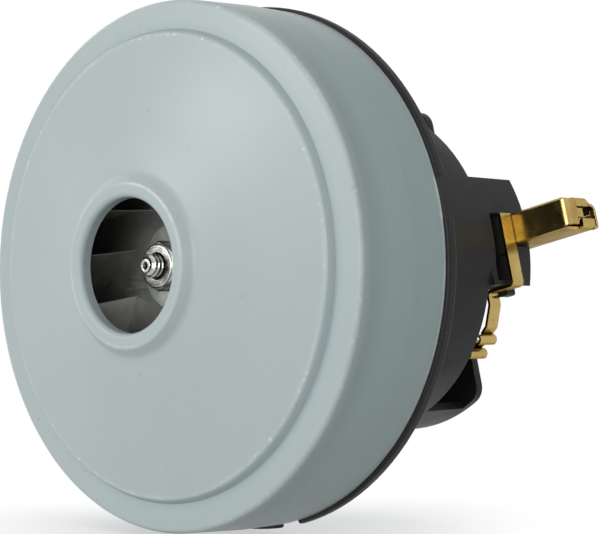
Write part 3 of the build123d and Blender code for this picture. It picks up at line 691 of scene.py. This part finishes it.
frame_nylon, tree, shader = finish("black_nylon", (0.012, 0.012, 0.013), 0.52, specular=0.22)
cloud = mottle(tree, 26.0, 4.0)
nylon = graded(tree, cloud, [(0.28, (0.009, 0.009, 0.0095)), (0.74, (0.015, 0.015, 0.016))])
fibre = between(tree, mottle(tree, 1500.0, 2.0, (1.0, 0.35, 1.0)), 0.0, 0.30, 0.62, 0.80)
nylon = mixed(tree, fibre, nylon, (0.050, 0.051, 0.052))
# Painted highlight, partly wear: pale, mottled lines on the sharp edges.
edge_line_mottle = between(tree, mottle(tree, 190.0, 3.0), 0.0, 0.60, 0.45, 0.66)
worn_and_highlit = product(tree, sharp_edge(tree, 0.0005), edge_line_mottle)
nylon = mixed(tree, worn_and_highlit, nylon, (0.20, 0.20, 0.19))
nylon = mixed(tree, hollows(tree, 0.012, 0.0, 0.1, 0.7), (0.045, 0.045, 0.042), nylon)
tree.links.new(nylon, shader.inputs["Base Color"])
tree.links.new(between(tree, mottle(tree, 60.0, 4.0), 0.44, 0.58), shader.inputs["Roughness"])
relief(tree, shader, mottle(tree, 2600.0, 2.0), 0.00003, edge=0.0004, strength=0.30)
for name in ("motor_frame", "diffuser", "front_bracket"):
    dress(name, frame_nylon)


# Stator and armature cores: iron sheets of half a millimetre, blanked and stacked along the
# shaft, with a blued skin between bright cut edges.

core_sheet = 0.0005
core_iron, tree, shader = finish("stacked_iron", (0.18, 0.185, 0.20), 0.42, metallic=0.8)
lines = worked(tree, "PINGPONG", worked(tree, "DIVIDE", along_shaft(tree), core_sheet), 0.5)
patch = mottle(tree, 140.0, 4.0)
metal = graded(tree, patch, [(0.34, (0.10, 0.105, 0.12)), (0.66, (0.24, 0.245, 0.26))])
metal = mixed(tree, between(tree, lines, 0.75, 0.0, 0.02, 0.16), metal, (0.03, 0.03, 0.034))
tree.links.new(metal, shader.inputs["Base Color"])
tree.links.new(between(tree, patch, 0.34, 0.52), shader.inputs["Roughness"])
relief(tree, shader, lines, 0.00008, strength=0.5)
dress("stator_core", core_iron)
dress("armature_core", core_iron)


# Field coils: enamelled copper wire wound on a former, bent into saddles round the two poles and
# dipped in varnish.

core_front, core_rear = 16.0, 44.0
coil_layers, layer_turns, coil_wire = 9, 6, 0.47
tilt, half_turn = math.radians(13.2), math.pi


def on_motor(x, y, z, side=0.0):
    """Place from millimetres in the motor's own directions, brushes along x, to the unit's."""
    angle = tilt + side
    return Vector(((x * math.cos(angle) - z * math.sin(angle)) * mm, y * mm,
                   (x * math.sin(angle) + z * math.cos(angle)) * mm))


def wire(points, radius, sides=6):
    """Round wire along a run of places, closed at its ends."""
    rows = []
    last = len(points) - 1
    across = (points[1] - points[0]).normalized().orthogonal().normalized()
    for i, point in enumerate(points):
        way = (points[min(i + 1, last)] - points[max(i - 1, 0)]).normalized()
        across = (across - way * across.dot(way)).normalized()
        up = way.cross(across)
        rows.append([point + (across * math.cos(a) + up * math.sin(a)) * radius * mm
                     for a in (2 * math.pi * k / sides for k in range(sides))])
    vertices, faces = skin(rows)
    faces += [tuple(range(sides))[::-1], tuple(range(last * sides, (last + 1) * sides))]
    return vertices, faces


def coil_turn(radius, half_angle, start, end, corner, middle):
    """One turn round a pole: two runs along the shaft and two arcs across it."""
    points = []
    bend = corner / radius
    straight = end - start - 2 * corner
    bend_angles = [math.pi / 2 * k / 5 for k in range(1, 5)]
    for side, first, last in ((1, start, end), (-1, end, start)):
        points += [(side * half_angle, first + side * (corner + straight * k / 3)) for k in range(4)]
        for a in bend_angles:
            points.append((side * (half_angle - bend * (1 - math.cos(a))),
                           last - side * corner * (1 - math.sin(a))))
        points += [(side * (half_angle - bend) * (1 - k / 6), last) for k in range(13)]
        for a in bend_angles:
            points.append((-side * (half_angle - bend * (1 - math.sin(a))),
                           last - side * corner * (1 - math.cos(a))))
    return [on_motor(radius * math.sin(a), y, radius * math.cos(a), middle) for a, y in points]


wire_enamel, tree, shader = finish("wire_enamel", (0.30, 0.075, 0.020), 0.26, specular=0.6)
strand = mottle(tree, 210.0, 4.0)
copper_red = graded(tree, strand, [(0.30, (0.16, 0.040, 0.014)), (0.72, (0.40, 0.120, 0.032))])
tree.links.new(copper_red, shader.inputs["Base Color"])
tree.links.new(between(tree, mottle(tree, 300.0, 3.0), 0.20, 0.40), shader.inputs["Roughness"])
relief(tree, shader, mottle(tree, 700.0, 3.0), 0.00005, strength=0.4)
for name, middle in (("a", 0.0), ("b", half_turn)):
    turns = []
    for layer in range(coil_layers):
        for turn in range(layer_turns):
            radius = 27.15 + layer * 1.02 + 0.10 * math.sin(layer * 2.3 + turn * 4.1)
            half_angle = math.radians(43.6 + turn * 3.55 + 0.5 * math.sin(layer * 1.7 + turn))
            reach = 1.5 + turn * 1.0 + 0.12 * math.cos(layer * 3.1)
            points = coil_turn(radius, half_angle, core_front - reach, core_rear + reach,
                               3.5 + turn * 0.6, middle)
            turns.append(wire(points, coil_wire))
    coil = joined(f"wound_field_coil_{name}", turns, 60)
    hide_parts(f"field_coil_{name}")
    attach(coil, "stator")
    coil.data.materials.append(wire_enamel)


# Armature winding: coils of enamelled wire laid from slot to slot over both ends of the core,
# each start and end led to a commutator hook, all soaked in varnish.

slots, slot_strands, front_strands, bars = 12, 7, 4, 24
winding_wire, lead_wire = 0.36, 0.34
front_mass = [(4.1, 13.9), (13.0, 13.9), (16.6, 12.2), (19.2, 12.2), (19.6, 16.0), (19.6, 16.1), (4.1, 16.1)]
rear_mass = [(4.1, 43.9), (19.4, 43.9), (19.6, 48.0), (16.0, 50.6), (11.5, 52.6), (4.1, 52.9)]
heads = []
for section in (front_mass, rear_mass):
    heads.append(skin([[around(r, y, 2 * math.pi * k / 72) for r, y in section] for k in range(73)]))
for slot in range(slots):
    start = 2 * math.pi * slot / slots - tilt
    span = 2 * math.pi * 5 / slots
    for strand in range(slot_strands):
        lift = 1.6 + (slot % 4) * 1.35 + strand * 0.24
        tight = 8.6 + strand * 1.25 + (slot % 3) * 0.4
        points = []
        for t in (k / 14 for k in range(15)):
            swell = math.sin(math.pi * t)
            radius = 19.8 - (19.8 - tight) * swell ** 0.8
            ceiling = 8.6 - 0.10 * max(0.0, radius - 10) ** 1.2
            height = min(lift, ceiling) * min(1.0, 3.2 * swell + 0.05)
            points.append(around(radius, core_rear + height, start + span * t + (strand - 3) * 0.02))
        heads.append(wire(points, winding_wire))
    for strand in range(front_strands):
        points = []
        for t in (k / 8 for k in range(9)):
            swell = math.sin(math.pi * t)
            radius = 19.7 - 3.4 * swell - strand * 0.3
            y = 15.9 - (3.9 + strand * 0.3) * swell ** 0.6
            points.append(around(radius, y, start + span / 2 * t))
        heads.append(wire(points, winding_wire))
lead = ((15.4, 49.4, 0.30), (15.0, 51.2, 0.20), (14.2, 52.9, 0.10), (14.0, 54.2, 0.02), (14.3, 54.9, 0.0))
for hook in range(bars):
    points = [around(r, y, 2 * math.pi * hook / bars + behind) for r, y, behind in lead]
    heads.append(wire(points, lead_wire))
winding = joined("armature_wire", heads, 60)
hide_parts("armature_winding")
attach(winding, "rotor")

varnished, tree, shader = finish("varnished_wire", (0.24, 0.06, 0.018), 0.22, specular=0.6)
strand = mottle(tree, 260.0, 4.0)
metal = graded(tree, strand, [(0.30, (0.11, 0.028, 0.010)), (0.72, (0.33, 0.095, 0.026))])
tree.links.new(metal, shader.inputs["Base Color"])
tree.links.new(between(tree, mottle(tree, 240.0, 4.0), 0.15, 0.36), shader.inputs["Roughness"])
relief(tree, shader, mottle(tree, 800.0, 3.0), 0.00006, strength=0.5)
winding.data.materials.append(varnished)


# Commutator: hard copper bars with a hook each, moulded into a brown phenolic hub, turned true
# and undercut, with the brushes' dark track round the middle.

bar_copper, tree, shader = finish("bar_copper", (0.70, 0.33, 0.18), 0.28, metallic=1.0)
ring = mottle(tree, 500.0, 3.0, (0.05, 9.0, 0.05))
metal = graded(tree, ring, [(0.30, (0.50, 0.23, 0.13)), (0.70, (0.78, 0.43, 0.27))])
off_track = off_from(tree, along_shaft(tree), 0.0655)
track = between(tree, off_track, 0.75, 0.0, 0.0052, 0.0062)
metal = mixed(tree, track, metal, (0.20, 0.10, 0.07))
tree.links.new(metal, shader.inputs["Base Color"])
tree.links.new(between(tree, ring, 0.22, 0.38), shader.inputs["Roughness"])
relief(tree, shader, ring, 0.00005, edge=0.0001, strength=0.4)
dress("commutator_bars", bar_copper)

hook_line = ((12.6, 57.05), (14.2, 57.1), (14.95, 56.4), (15.0, 55.5), (14.6, 54.9), (14.2, 55.2))
hook_half, hook_thickness = 0.55, 0.44
hooks = []
for hook in range(bars):
    angle = 2 * math.pi * (hook + 0.5) / bars
    side = Vector((-math.sin(angle), 0.0, math.cos(angle)))
    line = [around(r, y, angle) for r, y in hook_line]
    rows = []
    for i, point in enumerate(line):
        way = (line[min(i + 1, len(line) - 1)] - line[max(i - 1, 0)]).normalized()
        thick = way.cross(side) * hook_thickness / 2 * mm
        low, high = point - side * hook_half * mm, point + side * hook_half * mm
        rows.append([low - thick, high - thick, high + thick, low + thick])
    vertices, faces = skin(rows)
    faces += [(0, 1, 2, 3), (20, 21, 22, 23)]
    hooks.append((vertices, faces))
hook_ring = joined("commutator_hooks", hooks, 40)
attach(hook_ring, "rotor")
hook_ring.data.materials.append(bar_copper)

hub_moulding, tree, shader = finish("hub_moulding", (0.05, 0.03, 0.02), 0.5)
speck = mottle(tree, 400.0)
brown = graded(tree, speck, [(0.3, (0.04, 0.022, 0.015)), (0.7, (0.075, 0.045, 0.03))])
tree.links.new(brown, shader.inputs["Base Color"])
tree.links.new(between(tree, speck, 0.40, 0.58), shader.inputs["Roughness"])
relief(tree, shader, speck, 0.00004, edge=0.0002, strength=0.3)
dress("commutator_hub", hub_moulding)


# Brush tubes: brass sheet folded round a mandrel to a square tube, its seam at the back, with
# three tabs folded over the outer end to hold the spring.

tube_front, tube_rear, tube_half, tube_end = 58.5, 72.5, 4.4, 65.9
tube_start, tube_sheet, seam_half = 17.0, 0.8, 0.09
tab_foot, tab_face = tube_end - 1.5, tube_end + 0.1


def extruded(section, low, high, axis, side):
    """Solid between two copies of a closed section, along one of the motor's directions."""
    count = len(section)
    vertices = []
    for end in (low, high):
        for point in section:
            place = list(point)
            place.insert("xyz".index(axis), end)
            vertices.append(on_motor(*place, side))
    faces = [(i, (i + 1) % count, count + (i + 1) % count, count + i) for i in range(count)]
    faces += [tuple(range(count))[::-1], tuple(range(count, 2 * count))]
    return vertices, faces


def sheet_section(points, radii, thickness):
    """Section of a bent sheet; a thickness below 0 goes to the left of its run."""
    line = rounded(points, radii, math.radians(9))
    return line + shifted(line, thickness)[::-1]


def softened(piece, width):
    """The piece with its edges rounded by a width in millimetres."""
    bevel = piece.modifiers.new("edge", "BEVEL")
    bevel.width = width * mm
    bevel.segments = 2
    bevel.limit_method = "ANGLE"
    bevel.angle_limit = math.radians(38)
    return piece


tube_brass, tree, shader = finish("rolled_brass", (0.62, 0.46, 0.19), 0.20, metallic=1.0)
stain = mottle(tree, 95.0, 6.0)
metal = graded(tree, stain, [(0.26, (0.36, 0.24, 0.085)), (0.46, (0.46, 0.34, 0.125)),
                             (0.78, (0.53, 0.41, 0.175))])
# Painted shade: darker in the folds and corners of the brass, from an occlusion node.
metal = darkened(tree, metal, hollows(tree, 0.0012, 0.0, 0.2, 0.8), (0.18, 0.12, 0.08))
# Painted shade: the brass is darker on faces that point downwards.
place = tree.nodes.new("ShaderNodeTexCoord")
split = tree.nodes.new("ShaderNodeSeparateXYZ")
tree.links.new(place.outputs["Normal"], split.inputs["Vector"])
painted_underside_shade = between(tree, split.outputs["Z"], 0.75, 0.0, -0.9, -0.5)
metal = mixed(tree, painted_underside_shade, metal, (0.20, 0.155, 0.065))
spot = between(tree, mottle(tree, 520.0, 3.0), 0.0, 0.6, 0.66, 0.74)
metal = mixed(tree, spot, metal, (0.16, 0.09, 0.03))
tree.links.new(metal, shader.inputs["Base Color"])
tree.links.new(between(tree, mottle(tree, 170.0, 6.0), 0.14, 0.34), shader.inputs["Roughness"])
relief(tree, shader, mottle(tree, 420.0, 4.0), 0.00004, strength=0.22)
shader.inputs["Specular Tint"].default_value = (0.62, 0.52, 0.36, 1.0)

wall = sheet_section(
    [(tube_rear, seam_half), (tube_rear, tube_half), (tube_front, tube_half), (tube_front, -tube_half),
     (tube_rear, -tube_half), (tube_rear, -seam_half)],
    [2.4, 0.9, 0.9, 2.0], -tube_sheet)
rear_wall = sheet_section(
    [(69.4, tube_half - 1.5), (tube_rear, tube_half - 2.2), (tube_rear, -tube_half), (70.6, -tube_half)],
    [2.0, 1.2], tube_sheet)
front_tab = sheet_section(
    [(tab_foot, tube_front), (tube_end, tube_front), (tube_end, 62.1)], [1.45], tube_sheet)
tongue = [(tube_end, 62.1), (tube_end, 66.1), (tube_end - tube_sheet, 66.1), (tube_end - tube_sheet, 62.1)]
upper_tab = sheet_section(
    [(tab_foot, tube_half), (tab_face, tube_half), (tab_face, 1.75)], [1.3], tube_sheet)
lower_tab = sheet_section(
    [(tab_foot, -tube_half), (tab_face, -tube_half), (tab_face, -1.55)], [1.3], -tube_sheet)
for name, side in (("a", 0.0), ("b", half_turn)):
    parts = [
        extruded(wall, tube_start, tab_foot, "x", side),
        extruded(rear_wall, tab_foot, tube_end, "x", side),
        extruded(front_tab, -3.5, 3.6, "z", side),
        extruded(tongue, -1.25, 1.25, "z", side),
        extruded(upper_tab, 63.3, 68.9, "y", side),
        extruded(lower_tab, 65.2, 70.9, "y", side),
    ]
    tube = softened(joined(f"folded_brush_tube_{name}", parts, 30), 0.14)
    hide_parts(f"brush_tube_{name}")
    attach(tube, "stator")
    tube.data.materials.append(tube_brass)


# Brush springs: closely wound steel wire between the carbon and the tube's folded end.

spring_start, spring_end, spring_radius, spring_wire = 41.3, 64.2, 2.3, 0.3
spring_turns, turn_steps, brush_y, brush_travel = 10.5, 26, 65.5, 6.0
spring_steel, tree, shader = finish("spring_wire", (0.46, 0.44, 0.40), 0.26, metallic=1.0)
drawn = mottle(tree, 600.0, 4.0)
metal = graded(tree, drawn, [(0.3, (0.34, 0.32, 0.28)), (0.7, (0.58, 0.56, 0.52))])
tree.links.new(metal, shader.inputs["Base Color"])
tree.links.new(between(tree, drawn, 0.20, 0.36), shader.inputs["Roughness"])
for name, side in (("a", 0.0), ("b", half_turn)):
    points = []
    last = int(spring_turns * turn_steps)
    for k in range(last + 1):
        t = k / last
        closed_up = t - 0.055 * math.sin(2 * math.pi * t)
        angle = 2 * math.pi * spring_turns * t
        points.append(on_motor(spring_start + (spring_end - spring_start) * closed_up,
                               brush_y + spring_radius * math.cos(angle),
                               spring_radius * math.sin(angle), side))
    spring = joined(f"wound_brush_spring_{name}", [wire(points, spring_wire, 8)], 60)
    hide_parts(f"brush_spring_{name}")
    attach(spring, "stator")
    spring.data.materials.append(spring_steel)
    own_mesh(spring)


# Carbon brushes: blocks of pressed and baked carbon with a fine open grain. They slide in the
# brush tubes, and the springs press them on the commutator.

carbon, tree, shader = finish("pressed_carbon", (0.03, 0.03, 0.032), 0.5)
grain = mottle(tree, 900.0)
black = graded(tree, grain, [(0.3, (0.02, 0.02, 0.022)), (0.7, (0.05, 0.05, 0.052))])
tree.links.new(black, shader.inputs["Base Color"])
tree.links.new(between(tree, grain, 0.42, 0.62), shader.inputs["Roughness"])
relief(tree, shader, grain, 0.00005, edge=0.0003, strength=0.4)
dress("carbon_brush_a", carbon)
dress("carbon_brush_b", carbon)


# Terminal straps: brass strip bent under the frame's arm, held against the brush tube, with a
# push-on receptacle rolled from its widened end.

strap_front, strap_rear, strap_sheet = 53.6, 58.4, 0.8
curl_front, curl_rear, curl_sheet, curl_radius = 50.6, 57.9, 0.65, 1.5
foot = Vector((34.2, -26.85))
run = Vector((-0.795, -0.606))
out = Vector((0.606, -0.795))
strip = sheet_section(
    [(47.8, 4.4), (47.8, -16.2), (38.9, -16.2), (38.9, -19.4), (36.3, -25.2), tuple(foot)],
    [1.6, 0.9, 1.6, 1.2], strap_sheet)
rolled = []
for ahead, curl_start in ((0.75, 250), (5.85, 270)):
    for k in range(25):
        a = math.radians(curl_start - 11.5 * k)
        curl = (run * math.cos(a) + out * math.sin(a)) * curl_radius
        rolled.append(foot + run * ahead + out * 1.08 + curl)
receptacle = rolled + shifted(rolled, curl_sheet)[::-1]
for name, side in (("a", 0.0), ("b", half_turn)):
    parts = [extruded(strip, strap_front, strap_rear, "y", side),
             extruded(receptacle, curl_front, curl_rear, "y", side)]
    strap = softened(joined(f"bent_terminal_strap_{name}", parts, 30), 0.12)
    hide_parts(f"terminal_strap_{name}")
    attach(strap, "stator")
    strap.data.materials.append(tube_brass)
